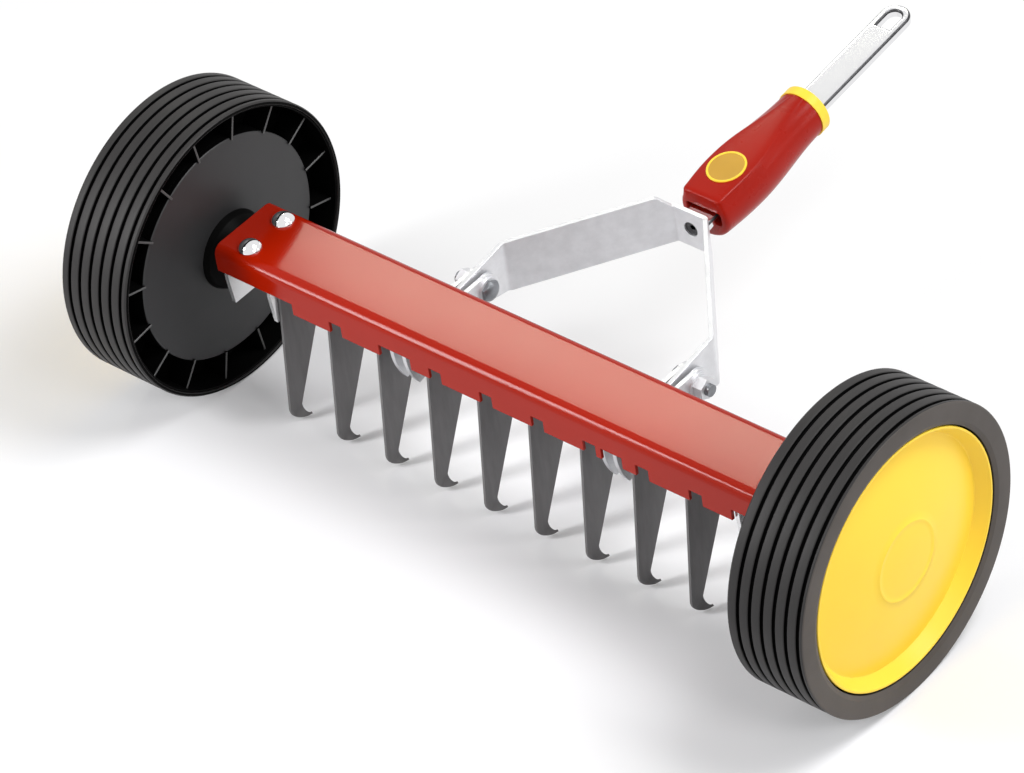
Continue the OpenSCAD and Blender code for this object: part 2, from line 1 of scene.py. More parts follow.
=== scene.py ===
"""Looks of a rolling thatch rake head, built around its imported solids.

Lengths in the constants are millimetres, but those of the camera, the floor and the lamps are metres.
"""

import json
import math

import bmesh
import bpy
from mathutils import Matrix, Quaternion, Vector


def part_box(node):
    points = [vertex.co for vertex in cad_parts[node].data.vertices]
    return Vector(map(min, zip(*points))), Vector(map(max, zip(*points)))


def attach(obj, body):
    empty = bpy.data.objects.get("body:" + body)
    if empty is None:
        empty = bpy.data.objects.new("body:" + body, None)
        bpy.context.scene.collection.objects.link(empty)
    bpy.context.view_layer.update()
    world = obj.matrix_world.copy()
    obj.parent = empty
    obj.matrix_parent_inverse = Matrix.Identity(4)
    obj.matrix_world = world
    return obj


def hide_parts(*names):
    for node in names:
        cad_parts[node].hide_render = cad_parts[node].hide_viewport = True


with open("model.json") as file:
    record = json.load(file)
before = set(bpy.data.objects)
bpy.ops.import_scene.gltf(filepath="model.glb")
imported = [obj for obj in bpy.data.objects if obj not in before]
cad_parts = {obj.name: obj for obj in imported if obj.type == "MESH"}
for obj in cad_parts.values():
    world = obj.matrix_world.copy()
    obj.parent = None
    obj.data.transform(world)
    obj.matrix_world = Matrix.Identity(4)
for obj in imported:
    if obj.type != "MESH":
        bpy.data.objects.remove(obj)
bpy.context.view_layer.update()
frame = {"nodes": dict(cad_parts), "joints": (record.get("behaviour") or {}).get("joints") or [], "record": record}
nodes = frame["nodes"]
MM = 0.001

# Places read from the frame, in metres
tyre_low, tyre_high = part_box("right_tyre")
bar_low, bar_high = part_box("channel")
yoke_low, yoke_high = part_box("yoke")
rivet_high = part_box("bracket_rivets")[1]
axle_z = (tyre_low.z + tyre_high.z) / 2
tyre_in = tyre_low.x
axle_h = axle_z / MM
wheel_r = (tyre_high.z - axle_z) / MM
tyre_w = (tyre_high.x - tyre_low.x) / MM
mounts = {m["name"]: m for m in frame["record"]["mounts"]}
tang_axis = Vector(mounts["handle_tang"]["axis"])
tang_up = Vector((1, 0, 0)).cross(tang_axis)
collar_end = Vector(mounts["handle_tang"]["pos_m"])
blades = [nodes["blade_%d" % i] for i in range(1, 11)]

# Smooth shading stops at edges sharper than this
SHARP_ANGLE = math.radians(32)
EDGE_SEGMENTS = 2
# Points closer than this many metres become one
WELD = 1e-6
# Steps round small turned pieces
ROUND_STEPS = 48


# Outlines

def rounded(corners, closed=True, steps=6):
    """Points of an outline from (u, v, radius) corners, each rounded by its radius."""
    points = []
    last = len(corners) - 1
    for i, (u, v, radius) in enumerate(corners):
        if radius == 0 or (not closed and i in (0, last)):
            points.append((u, v))
            continue
        here = Vector((u, v))
        to_before = (Vector(corners[i - 1][:2]) - here).normalized()
        to_after = (Vector(corners[(i + 1) % len(corners)][:2]) - here).normalized()
        half = to_before.angle(to_after) / 2
        centre = here + (to_before + to_after).normalized() * radius / math.sin(half)
        start = here + to_before * radius / math.tan(half) - centre
        end = here + to_after * radius / math.tan(half) - centre
        first = math.atan2(start.y, start.x)
        sweep = (math.atan2(end.y, end.x) - first + math.pi) % (2 * math.pi) - math.pi
        for k in range(steps + 1):
            angle = first + sweep * k / steps
            points.append((centre.x + radius * math.cos(angle), centre.y + radius * math.sin(angle)))
    return points


def arc(centre, radius, start, end, steps):
    """Points on an arc, with the angles in degrees."""
    angles = [math.radians(start + (end - start) * k / steps) for k in range(steps + 1)]
    return [(centre[0] + radius * math.cos(a), centre[1] + radius * math.sin(a)) for a in angles]


def chain(points, at):
    """The height of a chain of (place, height) points at one place."""
    for (a, low), (b, high) in zip(points, points[1:]):
        if at <= b:
            return low + (high - low) * max(0, at - a) / (b - a)
    return points[-1][1]


# Meshes

def finished(name, mesh, body, material, replaced=(), weld=0.0):
    """Makes a piece from a bmesh: it rides on a body, has a finish and stands for the replaced nodes."""
    if weld:
        bmesh.ops.remove_doubles(mesh, verts=mesh.verts, dist=weld)
    bmesh.ops.recalc_face_normals(mesh, faces=mesh.faces)
    data = bpy.data.meshes.new(name)
    mesh.to_mesh(data)
    mesh.free()
    data.polygons.foreach_set("use_smooth", [True] * len(data.polygons))
    data.set_sharp_from_angle(angle=SHARP_ANGLE)
    data.materials.append(material)
    piece = bpy.data.objects.new(name, data)
    bpy.context.scene.collection.objects.link(piece)
    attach(piece, body)
    if replaced:
        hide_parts(*replaced)
    return piece


def bridge(mesh, first, second):
    """Joins two rings of vertices, either of which may be a single point."""
    count = max(len(first), len(second))
    if count == 1:
        return
    for k in range(count):
        n = (k + 1) % count
        corners = [first[k % len(first)], first[n % len(first)],
                   second[n % len(second)], second[k % len(second)]]
        mesh.faces.new(list(dict.fromkeys(corners)))


def turned(mesh, profile, place, steps):
    """Adds a closed profile of (depth, radius) in mm, turned about a line that place() maps."""
    angles = [2 * math.pi * k / steps for k in range(steps)]
    rings = []
    for depth, radius in profile:
        around = angles if radius else [0]
        spots = [(radius * MM * math.cos(a), radius * MM * math.sin(a)) for a in around]
        rings.append([mesh.verts.new(place(depth * MM, u, v)) for u, v in spots])
    for first, second in zip(rings, rings[1:] + rings[:1]):
        bridge(mesh, first, second)


def wheel_place(side):
    """Maps depth from a tyre's inner face and two cross directions: side 1 is right, -1 left."""
    return lambda depth, y, z: (side * (tyre_in + depth), y, axle_z + z)


def plate(name, loops, thickness, edge, to_world):
    """A bmesh of a flat plate with rounded edges, from an outline and the outlines of its holes."""
    curve = bpy.data.curves.new(name, "CURVE")
    curve.dimensions = "2D"
    curve.fill_mode = "BOTH"
    curve.extrude = (thickness / 2 - edge) * MM
    curve.bevel_depth = edge * MM
    curve.bevel_resolution = 3
    curve.offset = -edge * MM
    for loop in loops:
        spline = curve.splines.new("POLY")
        spline.points.add(len(loop) - 1)
        for point, (u, v) in zip(spline.points, loop):
            point.co = (u * MM, v * MM, 0, 1)
        spline.use_cyclic_u = True
    holder = bpy.data.objects.new(name, curve)
    bpy.context.scene.collection.objects.link(holder)
    bpy.context.view_layer.update()
    data = bpy.data.meshes.new_from_object(holder.evaluated_get(bpy.context.evaluated_depsgraph_get()))
    bpy.data.objects.remove(holder)
    mesh = bmesh.new()
    mesh.from_mesh(data)
    mesh.transform(to_world)
    return mesh


def tang_point(lateral, along, up):
    """A point from mm in the tang's frame: sideways, along from the collar's end, and up from its middle."""
    return collar_end + (Vector((lateral, 0, 0)) + tang_axis * along + tang_up * up) * MM


def bevelled(piece, width):
    """Rounds a piece's sharp edges by a width in mm."""
    modifier = piece.modifiers.new("edges", "BEVEL")
    modifier.width = width * MM
    modifier.segments = EDGE_SEGMENTS
    modifier.limit_method = "ANGLE"
    modifier.angle_limit = SHARP_ANGLE
    modifier.harden_normals = True
    return piece


def flat_faced(piece):
    """Keeps the shading of large flat faces flat beside their rounded edges."""
    modifier = piece.modifiers.new("flat_faces", "WEIGHTED_NORMAL")
    modifier.keep_sharp = True
    return piece


def thick(piece, thickness, offset):
    """Gives a sheet its thickness in mm: offset -1 grows it inwards, 0 both ways."""
    modifier = piece.modifiers.new("sheet", "SOLIDIFY")
    modifier.thickness = thickness * MM
    modifier.offset = offset
    modifier.use_even_offset = True
    return piece


def applied(piece):
    """Turns a piece's modifiers into its mesh."""
    bpy.context.view_layer.update()
    shaped = piece.evaluated_get(bpy.context.evaluated_depsgraph_get())
    data = bpy.data.meshes.new_from_object(shaped)
    piece.modifiers.clear()
    piece.data = data
    data.set_sharp_from_angle(angle=SHARP_ANGLE)


def edged(piece, material, chosen):
    """Gives another finish to the chosen faces of a piece."""
    piece.data.materials.append(material)
    for face in piece.data.polygons:
        if chosen(face):
            face.material_index = len(piece.data.materials) - 1
    return piece


# Materials

NOISE_ROUGHNESS = 0.55


class Finish:
    """A node material around one Principled shader, with helpers that link noise to its sockets."""

    def __init__(self, name, **sockets):
        self.material = bpy.data.materials.new(name)
        self.material.use_nodes = True
        self.tree = self.material.node_tree
        self.shader = self.tree.nodes["Principled BSDF"]
        for socket, value in sockets.items():
            self.shader.inputs[socket.replace("_", " ")].default_value = value
        self.place = self.tree.nodes.new("ShaderNodeTexCoord").outputs["Object"]

    def node(self, kind, **values):
        made = self.tree.nodes.new(kind)
        for name, value in values.items():
            made.inputs[name].default_value = value
        return made

    def link(self, output, socket):
        self.tree.links.new(output, socket)

    def noise(self, scale, detail=4.0, stretch=(1, 1, 1)):
        """Noise in metres of the object's own space, drawn out by a stretch."""
        mapped = self.node("ShaderNodeMapping", Scale=stretch)
        self.link(self.place, mapped.inputs["Vector"])
        made = self.node("ShaderNodeTexNoise", Scale=scale, Detail=detail, Roughness=NOISE_ROUGHNESS)
        self.link(mapped.outputs["Vector"], made.inputs["Vector"])
        return made.outputs["Fac"]

    def colour(self, source, stops):
        """Base colour from a source, through a ramp of two (position, colour) stops."""
        made = self.tree.nodes.new("ShaderNodeValToRGB")
        for stop, (position, colour) in zip(made.color_ramp.elements, stops):
            stop.position = position
            stop.color = (*colour, 1)
        self.link(source, made.inputs["Fac"])
        self.link(made.outputs["Color"], self.shader.inputs["Base Color"])

    def rough(self, source, low, high):
        """Roughness from a source, between two values."""
        made = self.node("ShaderNodeMapRange", **{"To Min": low, "To Max": high})
        self.link(source, made.inputs["Value"])
        self.link(made.outputs["Result"], self.shader.inputs["Roughness"])

    def bump(self, source, height):
        """Bump from a source, with its height in mm."""
        made = self.node("ShaderNodeBump", Strength=1.0, Distance=height * MM)
        self.link(source, made.inputs["Height"])
        self.link(made.outputs["Normal"], self.shader.inputs["Normal"])


def shades(colour, spread):
    """Ramp stops a little darker and lighter than a colour."""
    return [(0.3, [c * (1 - spread) for c in colour]), (0.7, [c * (1 + spread) for c in colour])]


RED = (0.37, 0.011, 0.001)
SOCKET_RED = (0.33, 0.008, 0.002)
YELLOW = (0.95, 0.655, 0.055)
BLADE_GREY = (0.170, 0.165, 0.167)
ZINC = (0.715, 0.72, 0.74)
# Lighter zinc for the brackets: painted reflection of the white surroundings
ZINC_PAINTED_REFLECTION = (0.93, 0.93, 0.94)
CHROME = (0.80, 0.80, 0.81)
RUBBER = (0.031, 0.0294, 0.0294)
# Near-black for the tyre grooves: painted shade
GROOVE_PAINTED_SHADE = (0.002, 0.002, 0.002)
# Lighter, warmer rubber for the outer sidewalls: painted bounce light from the yellow cover and the floor
SIDEWALL_PAINTED_BOUNCE = (0.080, 0.070, 0.064)
RIM_GREY = (0.024, 0.024, 0.025)
# Lighter grey on the rib tops: painted highlight
RIB_PAINTED_HIGHLIGHT = (0.075, 0.075, 0.075)
# Near-black: painted shade in the ring-shaped recess, on its ribs and on the wall round the disc; the hub boss is
# as dark
HUB_BLACK_AND_PAINTED_SHADE = (0.002, 0.002, 0.002)
BOLT_GREY = (0.22, 0.23, 0.245)
# Dark steel for painted dark reflection on the tang's edges and painted shade on the spigot in the web hole
PAINTED_DARK_GREY = (0.055, 0.055, 0.058)
INLAY_GOLD = (0.52, 0.29, 0.035)

# Gloss enamel with a faint orange peel
bar_paint = Finish("bar_paint", Specular_IOR_Level=0.17)
bar_paint.colour(bar_paint.noise(9), shades(RED, 0.05))
bar_paint.rough(bar_paint.noise(40), 0.11, 0.14)
bar_paint.bump(bar_paint.noise(90, detail=2), 0.003)

# Moulded gloss plastic
socket_plastic = Finish("socket_plastic", Specular_IOR_Level=0.16)
socket_plastic.colour(socket_plastic.noise(14), shades(SOCKET_RED, 0.07))
socket_plastic.rough(socket_plastic.noise(60), 0.24, 0.32)
socket_plastic.bump(socket_plastic.noise(160, detail=2), 0.006)

# Satin yellow plastic
cover_plastic = Finish("cover_plastic", Specular_IOR_Level=0.25)
cover_plastic.colour(cover_plastic.noise(11), shades(YELLOW, 0.03))
cover_plastic.rough(cover_plastic.noise(50), 0.30, 0.40)
cover_plastic.bump(cover_plastic.noise(140, detail=2), 0.006)

# Satin coating with fine upright rolling marks
blade_steel = Finish("blade_steel", Metallic=0.25, Specular_IOR_Level=0.3)
blade_steel.colour(blade_steel.noise(40, stretch=(1, 5, 1)), shades(BLADE_GREY, 0.10))
blade_steel.rough(blade_steel.noise(60, stretch=(1, 6, 1)), 0.46, 0.58)
blade_steel.bump(blade_steel.noise(120, stretch=(1, 6, 1)), 0.012)

# Pale zinc with a soft spangle
zinc_steel = Finish("zinc_steel", Metallic=0.65)
zinc_steel.colour(zinc_steel.noise(120, detail=3), shades(ZINC, 0.06))
zinc_steel.rough(zinc_steel.noise(80), 0.32, 0.44)
zinc_steel.bump(zinc_steel.noise(150, detail=2), 0.008)

# Lighter copy of the zinc, on the brackets that hang under the bar: painted reflection of the white surroundings
zinc_painted_reflection = Finish("zinc_painted_reflection", Metallic=0.8)
zinc_painted_reflection.colour(zinc_painted_reflection.noise(120, detail=3), shades(ZINC_PAINTED_REFLECTION, 0.03))
zinc_painted_reflection.rough(zinc_painted_reflection.noise(80), 0.22, 0.30)
zinc_painted_reflection.bump(zinc_painted_reflection.noise(150, detail=2), 0.006)


def bright_metal(name, low, high):
    """Bright plating, with its least and most roughness."""
    finish = Finish(name, Metallic=1.0)
    finish.colour(finish.noise(40), shades(CHROME, 0.03))
    finish.rough(finish.noise(90), low, high)
    finish.bump(finish.noise(130, detail=1), 0.003)
    return finish


def dark_metal(name, colour):
    """Duller steel, uneven in colour."""
    finish = Finish(name, Metallic=0.7)
    finish.colour(finish.noise(160), shades(colour, 0.2))
    finish.rough(finish.noise(200), 0.25, 0.42)
    finish.bump(finish.noise(300), 0.01)
    return finish


chrome_steel = bright_metal("chrome_steel", 0.05, 0.08)
bright_rivet = bright_metal("bright_rivet", 0.06, 0.12)
dark_bolt = dark_metal("dark_bolt", BOLT_GREY)
# Painted dark reflection on the tang's rounded edges, painted shade on the spigot in the web hole
painted_dark_steel = dark_metal("painted_dark_steel", PAINTED_DARK_GREY)


def matt_rubber(name, colour, shine=0.18):
    """Matt rubber, dusty in places."""
    finish = Finish(name, Specular_IOR_Level=shine)
    finish.colour(finish.noise(22, detail=6), shades(colour, 0.14))
    finish.rough(finish.noise(50), 0.42, 0.54)
    finish.bump(finish.noise(320, detail=3), 0.015)
    return finish


tyre_rubber = matt_rubber("tyre_rubber", RUBBER)
# Lighter, warmer rubber for the sidewalls: painted bounce light
sidewall_painted_bounce = matt_rubber("sidewall_painted_bounce", SIDEWALL_PAINTED_BOUNCE)
# Near-black rubber for the grooves: painted shade
groove_painted_shade = matt_rubber("groove_painted_shade", GROOVE_PAINTED_SHADE, 0.03)


def moulded_plastic(name, colour, shine):
    """Satin plastic with a fine spark texture."""
    finish = Finish(name, Specular_IOR_Level=shine)
    finish.colour(finish.noise(18, detail=5), shades(colour, 0.10))
    finish.rough(finish.noise(60), 0.38, 0.48)
    finish.bump(finish.noise(300, detail=2), 0.01)
    return finish


rim_plastic = moulded_plastic("rim_plastic", RIM_GREY, 0.4)
# Near-black plastic: painted shade in the recess and on the wall into it, and the dark hub boss
hub_black_and_painted_shade = moulded_plastic("hub_black_and_painted_shade", HUB_BLACK_AND_PAINTED_SHADE, 0.03)
# Lighter plastic on the rib tops: painted highlight
rib_painted_highlight = moulded_plastic("rib_painted_highlight", RIB_PAINTED_HIGHLIGHT, 0.4)
inlay_gold = moulded_plastic("inlay_gold", INLAY_GOLD, 0.3)

finishes = {
    "bar_paint": bar_paint, "blade_steel": blade_steel, "zinc_steel": zinc_steel,
    "bright_rivet": bright_rivet, "chrome_steel": chrome_steel, "dark_bolt": dark_bolt,
    "tyre_rubber": tyre_rubber, "rim_plastic": rim_plastic, "cover_plastic": cover_plastic,
    "socket_plastic": socket_plastic}
for part in frame["record"]["subparts"]:
    slots = nodes[part["node"]].data.materials
    slots.clear()
    slots.append(finishes[part["material_slot"]].material)
# The brackets get the lighter zinc, a painted reflection
for name in ("left_bracket", "right_bracket"):
    nodes[name].data.materials[0] = zinc_painted_reflection.material


# Wheels

WHEEL_STEPS = 160
WORDS = {1: "right", -1: "left"}
TYRE_INSET = 0.3
INNER_SHOULDER_W = 1.6
INNER_SHOULDER_H = 1.0
INNER_SHOULDER_R = 0.8
TREAD_T = 2.7
GROOVE_COUNT = 6
# The photo shows the first groove nearer the bar on the left tyre than on the right one
GROOVE_STARTS = {1: 8.4, -1: 5.6}
GROOVE_PITCH = 8.75
GROOVE_W = 2.8
GROOVE_DEPTH = 2.2
GROOVE_SLOPE = 0.5
GROOVE_TOP_R = 0.7
GROOVE_FLOOR_R = 0.35
SHOULDER_R = 1.1
SIDEWALL_IN = 84.9
SIDEWALL_BACK = 47.5
SIDEWALL_SINK = 1.3
SIDEWALL_SLOPE = 3.0


def tyre_profile(side):
    """The tread band with its grooves, and the outer sidewall, which dips towards the cover."""
    band = wheel_r - TREAD_T
    corners = [(TYRE_INSET, band, TYRE_INSET), (TYRE_INSET, wheel_r - INNER_SHOULDER_H, INNER_SHOULDER_R),
               (INNER_SHOULDER_W, wheel_r, INNER_SHOULDER_R)]
    for i in range(GROOVE_COUNT):
        middle = GROOVE_STARTS[side] + i * GROOVE_PITCH
        top = GROOVE_W / 2
        bottom = top - GROOVE_SLOPE
        floor = wheel_r - GROOVE_DEPTH
        corners += [(middle - top, wheel_r, GROOVE_TOP_R), (middle - bottom, floor, GROOVE_FLOOR_R),
                    (middle + bottom, floor, GROOVE_FLOOR_R), (middle + top, wheel_r, GROOVE_TOP_R)]
    corners += [(tyre_w, wheel_r, SHOULDER_R), (tyre_w, SIDEWALL_IN + SIDEWALL_SLOPE, 2.0),
                (tyre_w - SIDEWALL_SINK, SIDEWALL_IN, 0.6), (SIDEWALL_BACK, SIDEWALL_IN, 0.5),
                (SIDEWALL_BACK, band, 0.5)]
    return rounded(corners)


HUB_BORE = 5.06
DISC_R = 77.5
DISC_SINK = 7.0
DISC_TOP = 3.0
RECESS_FLOOR = 27.0
RIM_WALL = 3.0
DRUM_WALL = 1.5
DISC_EDGE = 4.0
DISC_LAP = 2.0
SEAM = 0.2
BOSS_R = 27.0
BOSS_END = -10.0
BOSS_END_R = 18.0
BOSS_SHOULDER = 4.5
BOSS_TAPER = 1.5
RIM_OUT = 97.2
DRUM_START = 1.5
DRUM_END = 46.5
HUB_R = 14.0
HUB_END = 37.0
RIB_COUNT = 16
RIB_T = 1.5
RIB_SINK = -1.6
RIB_OVERLAP = 1.2
RIB_SEAT = 0.5
RIB_EASE = 0.35
RIB_TURN = math.radians(7.5)


def disc_profile():
    """The cone-shaped disc and the upper part of the wall round it."""
    wall = DISC_R - RIM_WALL
    middle = BOSS_R - DISC_LAP
    return rounded([
        (DISC_TOP, middle, 0.3), (DISC_SINK, DISC_R, 1.2), (DISC_SINK + DISC_EDGE, DISC_R, 0.3),
        (DISC_SINK + DISC_EDGE, wall, 0.3), (DISC_SINK + RIM_WALL, wall, 0.3),
        (DISC_TOP + RIM_WALL, middle, 0.3)])


def drum_profile():
    """The ring-shaped recess and the drum under the tyre."""
    wall = DISC_R - RIM_WALL
    floor = RECESS_FLOOR - RIM_WALL
    drum = RIM_OUT - DRUM_WALL
    return rounded([
        (DISC_SINK + DISC_EDGE, DISC_R - SEAM, 0.2), (floor, DISC_R - SEAM, 1.5), (floor, drum, 1.5),
        (DRUM_START, drum, 0.5), (DRUM_START, RIM_OUT, 0.4), (DRUM_END, RIM_OUT, 0.4), (DRUM_END, drum, 0.4),
        (RECESS_FLOOR, drum, 0.5), (RECESS_FLOOR, wall, 0.5), (DISC_SINK + DISC_EDGE, wall, 0.2)])


def boss_profile():
    """The hub, from its boss beside the bar to its outer end."""
    return rounded([
        (HUB_END, HUB_BORE, 0.3), (BOSS_END, HUB_BORE, 0.3), (BOSS_END, BOSS_END_R, 2.5),
        (DISC_TOP - BOSS_SHOULDER, BOSS_R - BOSS_TAPER, 2.5), (DISC_TOP - SEAM, BOSS_R, 0.8),
        (DISC_TOP + RIM_WALL, BOSS_R, 0.5), (DISC_TOP + RIM_WALL, HUB_R, 0.5), (HUB_END, HUB_R, 0.5)])


def add_ribs(mesh, side):
    """Ribs across the ring-shaped recess, with their edges eased."""
    half = RIB_T / 2
    top = DISC_SINK + RIB_SINK
    bottom = RECESS_FLOOR - RIM_WALL
    section = [(-half, bottom), (-half, top + RIB_EASE), (-half + RIB_EASE, top),
               (half - RIB_EASE, top), (half, top + RIB_EASE), (half, bottom)]
    place = wheel_place(side)
    for i in range(RIB_COUNT):
        angle = RIB_TURN + 2 * math.pi * i / RIB_COUNT
        rings = []
        for radius in (DISC_R - RIB_OVERLAP, RIM_OUT - DRUM_WALL + RIB_SEAT):
            ring = []
            for across, back in section:
                y = radius * math.cos(angle) - across * math.sin(angle)
                z = radius * math.sin(angle) + across * math.cos(angle)
                ring.append(mesh.verts.new(place(back * MM, y * MM, z * MM)))
            rings.append(ring)
        bridge(mesh, *rings)
        for ring in rings:
            mesh.faces.new(ring)


COVER_R = 83.8
COVER_LIP = 54.6
COVER_FACE = 45.8
COVER_DOME = 9.8
COVER_FACE_R = 77.0
COVER_LIP_W = 1.5
COVER_T = 2.0
COVER_EASE = 2.0
COVER_EDGE_H = 4.0
COVER_EDGE_W = 1.2
RING_R = 26.0
RING_H = 0.45
RING_TOP = (-0.7, 0.3)
RING_FOOT = (-1.6, 1.0)
DOME_STEPS = 10


def dome_depth(radius):
    """Depth of the cover's bulging face at a radius."""
    return COVER_FACE + COVER_DOME * (1 - (radius / COVER_FACE_R) ** 2)


def dome_points(start, end, sink=0.0):
    """Corners along the bulging face between two radii."""
    radii = [start + (end - start) * k / DOME_STEPS for k in range(DOME_STEPS + 1)]
    return [(dome_depth(r) - sink, r, 0) for r in radii]


def cover_profile():
    """A lip, a dip and a bulging face with a raised ring."""
    ring_top = dome_depth(RING_R) + RING_H
    edge = COVER_LIP - COVER_EDGE_H
    corners = dome_points(0, RING_R + RING_FOOT[0])
    corners += [(ring_top, RING_R + offset, 0.4) for offset in RING_TOP]
    corners += dome_points(RING_R + RING_FOOT[1], COVER_FACE_R - COVER_EASE)
    corners += [(COVER_FACE, COVER_FACE_R, 0.8), (COVER_LIP, COVER_R - COVER_LIP_W, 0.6),
                (COVER_LIP, COVER_R, 0.6), (edge, COVER_R, 0.4), (edge, COVER_R - COVER_EDGE_W, 0.2)]
    return rounded(corners + dome_points(COVER_FACE_R, 0, COVER_T), closed=False)


# Faces count as sidewall within this depth of a tyre's outer side; they get a lighter, warmer rubber, painted
# bounce light from the yellow cover and the floor
SIDEWALL_DEPTH = 1.0
# Faces count as groove from this depth under the tread down to a little below the groove's floor; they get
# near-black rubber, painted shade in the grooves
GROOVE_DARK_FROM = 0.6
GROOVE_SLACK = 0.1
SIDEWAYS = 0.5
SIDEWALL_SIDEWAYS = 0.6
wall_x = tyre_high.x - SIDEWALL_DEPTH * MM


def off_axle(face):
    """Distance of a face from the axle, in mm."""
    return math.hypot(face.center.y, face.center.z - axle_z) / MM


def is_sidewall(face):
    """True on the outer side of a tyre, not in its grooves."""
    flush = abs(face.center.x) > wall_x
    sunk = abs(face.center.x) > wall_x - SIDEWALL_SINK * MM and off_axle(face) < wheel_r - TREAD_T
    return abs(face.normal.x) > SIDEWALL_SIDEWAYS and (flush or sunk)


def is_groove(face):
    """True inside the grooves of a tyre."""
    depth = wheel_r - off_axle(face)
    return abs(face.center.x) < wall_x and GROOVE_DARK_FROM < depth < GROOVE_DEPTH + GROOVE_SLACK


def is_rib_edge(face):
    return abs(face.normal.x) > SIDEWAYS


def is_disc_wall(face):
    """True on the wall round the disc, which drops into the recess."""
    return abs(face.normal.x) < SIDEWAYS and off_axle(face) > DISC_R - 1


def wheel_piece(side, name, profile, finish, replaced=()):
    """A turned piece of one wheel. Its name and the node it stands for start with the wheel's side."""
    word = WORDS[side]
    mesh = bmesh.new()
    turned(mesh, profile, wheel_place(side), WHEEL_STEPS)
    stands_for = [word + node for node in replaced]
    return finished(word + name, mesh, word + "_wheel", finish.material, stands_for)


for side, word in WORDS.items():
    tread = wheel_piece(side, "_tread", tyre_profile(side), tyre_rubber, ["_tyre"])
    # Painted bounce light on the outer sidewall
    edged(tread, sidewall_painted_bounce.material, is_sidewall)
    # Painted shade in the grooves
    edged(tread, groove_painted_shade.material, is_groove)
    # The drum and its recess are near-black: painted shade in the recess
    wheel_piece(side, "_drum", drum_profile(), hub_black_and_painted_shade, ["_rim"])
    rib_mesh = bmesh.new()
    add_ribs(rib_mesh, side)
    ribs = finished(word + "_ribs", rib_mesh, word + "_wheel", hub_black_and_painted_shade.material)
    # Painted highlight along the rib tops
    edged(ribs, rib_painted_highlight.material, is_rib_edge)
    disc = wheel_piece(side, "_disc", disc_profile(), rim_plastic)
    # The wall that drops into the recess gets near-black: painted shade
    edged(disc, hub_black_and_painted_shade.material, is_disc_wall)
    wheel_piece(side, "_hub_boss", boss_profile(), hub_black_and_painted_shade)
    wheel_piece(side, "_dished_cover", cover_profile(), cover_plastic, ["_hub_cover"])


# The bar, a folded sheet with nicks in its flanges

BAR_T = 2.5
BAR_EDGE = 0.5
YOKE_T = 3.0
BEND_R = 7.0
BEND_STEPS = 8
NICK_H = 8.5
NICK_W = 9.5
NICK_SHIFT = 15.0
LUG_NICK_W = 16.0
LUG_NICK_SHIFT = 9.5
REAR_NICK_W = 18.0
BLADE_T = 2.0
END_GAP = 1.5

bar_y = bar_high.y / MM
bar_end = bar_high.x / MM
bar_top = bar_high.z / MM
flange_z = bar_low.z / MM
nick_top = flange_z + NICK_H
blade_xs = [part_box(b.name)[0].x / MM + BLADE_T / 2 for b in blades]
foot_x = yoke_high.x / MM - YOKE_T / 2
cheek_in = blade_xs[-1] + END_GAP


def around(middle, width):
    """Both ends of a cut along the bar."""
    return (middle - width / 2, middle + width / 2)


front_cuts = [around(x + NICK_SHIFT, NICK_W) for x in blade_xs]
front_cuts += [around(s * foot_x + LUG_NICK_SHIFT, LUG_NICK_W) for s in (-1, 1)]
front_cuts += [(-bar_end, blade_xs[0] + NICK_SHIFT), (cheek_in, bar_end)]
rear_cuts = [around(s * foot_x, REAR_NICK_W) for s in (-1, 1)]
rear_cuts += [(-bar_end, -cheek_in), (cheek_in, bar_end)]


def bar_sheet():
    """The outer face of the bar as a grid of columns along X, without the faces that the nicks cut away."""
    half_arc = rounded([(-bar_y, nick_top, 0), (-bar_y, bar_top, BEND_R), (0, bar_top, 0)], closed=False,
                       steps=BEND_STEPS)
    front = [(-bar_y, flange_z)] + half_arc
    section = front + [(-y, z) for y, z in reversed(front[:-1])]
    edges = [-bar_end, bar_end] + [e for cut in front_cuts + rear_cuts for e in cut]
    xs = sorted({round(min(bar_end, max(-bar_end, e)), 4) for e in edges})
    mesh = bmesh.new()
    grid = [[mesh.verts.new((x * MM, y * MM, z * MM)) for y, z in section] for x in xs]
    for i, (x0, x1) in enumerate(zip(xs, xs[1:])):
        middle = (x0 + x1) / 2
        for k in range(len(section) - 1):
            cuts = front_cuts if k == 0 else rear_cuts if k == len(section) - 2 else []
            if not any(a < middle < b for a, b in cuts):
                mesh.faces.new((grid[i][k], grid[i + 1][k], grid[i + 1][k + 1], grid[i][k + 1]))
    loose = [v for v in mesh.verts if not v.link_faces]
    bmesh.ops.delete(mesh, geom=loose, context="VERTS")
    return mesh


folded_bar = finished("folded_bar", bar_sheet(), "rake_bar", bar_paint.material, ["channel"])
thick(folded_bar, BAR_T, -1)
flat_faced(bevelled(folded_bar, BAR_EDGE))


# The blades, each with a round heel and a lower end that is folded sideways into a hook

BLADE_HEAD_W = 43.5
BLADE_LOW_W = 10.5
BLANK_GAP = 0.2
HEEL_R = 12.0
HEEL_FRONT = 28.8
HOOK_H = 10.0
HOOK_LEN = 2.2
HOOK_TIP = 1.3
FOLD_FROM = math.radians(215)
FOLD_R = 5.8
FOLD_TURN = math.radians(46)
FOLD_STEPS = 6
HEEL_STEPS = 16
HOOK_STEPS = 10
SHOULDER_DROP = 5.0
BLADE_EDGE = 0.25
blade_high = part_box("blade_1")[1]
blade_rear = blade_high.y / MM
blade_front = blade_rear - BLADE_HEAD_W
heel = Vector((HEEL_R - HEEL_FRONT, BLANK_GAP + HEEL_R))
hook_root = Vector((BLADE_LOW_W - HEEL_FRONT, BLANK_GAP + HOOK_H))
fold_start = heel + HEEL_R * Vector((math.cos(FOLD_FROM), math.sin(FOLD_FROM)))
fold_down = Vector((hook_root.y - fold_start.y, fold_start.x - hook_root.x)).normalized()


